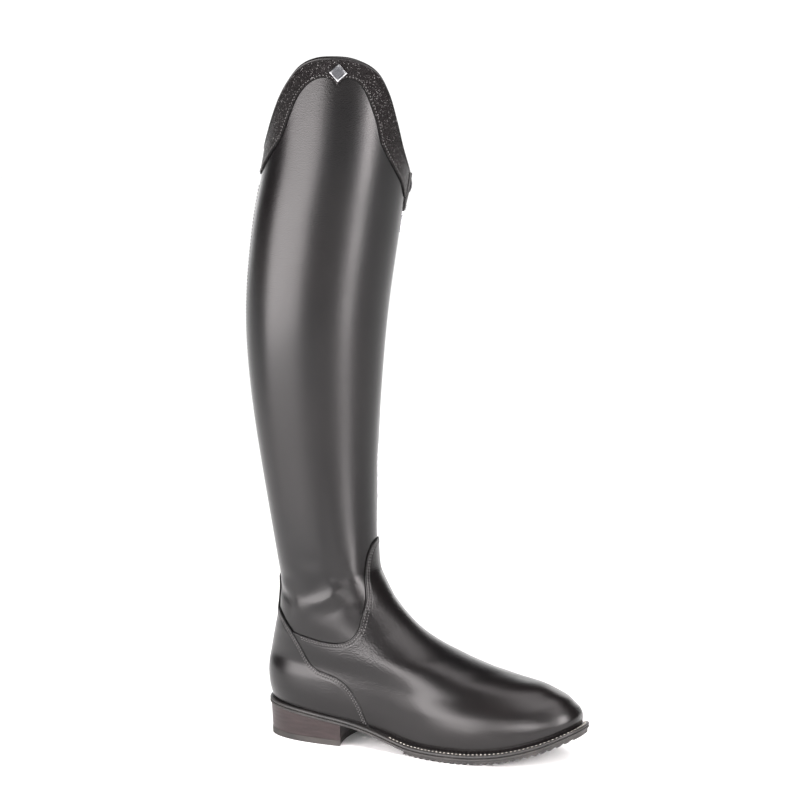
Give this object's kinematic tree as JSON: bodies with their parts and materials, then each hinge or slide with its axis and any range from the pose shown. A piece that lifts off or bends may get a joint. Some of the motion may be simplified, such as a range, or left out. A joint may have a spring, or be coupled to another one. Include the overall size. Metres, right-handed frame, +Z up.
{
  "type": "dress riding boot",
  "caption": "Tall right dress riding boot with hollow shaft, high arched collar, glitter trim, front zip and low heel.",
  "frame": {"origin": "middle of the heel's flat underside, on the floor", "axes": "+X points to the toe, +Z up, -Y to the outer side of the foot"},
  "size_m": [0.2856, 0.1066, 0.5481],
  "materials": {
    "leather_black": "smooth black calf leather with a satin shine",
    "glitter_trim": "black leather covered in fine sparkling beads",
    "badge_chrome": "polished bright metal, bare",
    "stud_black": "black cap, satin",
    "zip_tape": "black woven tape",
    "zip_metal": "dark gunmetal",
    "welt_black": "black stitched welt, matt",
    "insole_leather": "dark brown lining leather",
    "sole_rubber": "black rubber, matt",
    "heel_stack": "dark waxed stacked heel"
  },
  "bodies": {
    "boot": {"upper": "leather_black", "vamp": "leather_black", "heel_counter": "leather_black", "glitter_trim": "glitter_trim", "collar_binding": "leather_black", "badge": "badge_chrome", "closing_tab": "leather_black", "press_stud": "stud_black", "zip_tape": "zip_tape", "zip_teeth": "zip_metal", "zip_slider": "zip_metal", "welt": "welt_black", "insole": "insole_leather", "outsole": "sole_rubber", "forefoot_tread": "sole_rubber", "heel_block": "heel_stack", "heel_top_piece": "sole_rubber"},
    "pull": {"zip_pull": "zip_metal"}
  },
  "joints": [
    {"name": "pull_hinge", "type": "hinge", "parent": "boot", "child": "pull", "pos_m": [0.059, 0.0404, 0.422], "axis": [0.7016, -0.7028, -0.1172], "range_deg": [0, 110]}
  ]
}
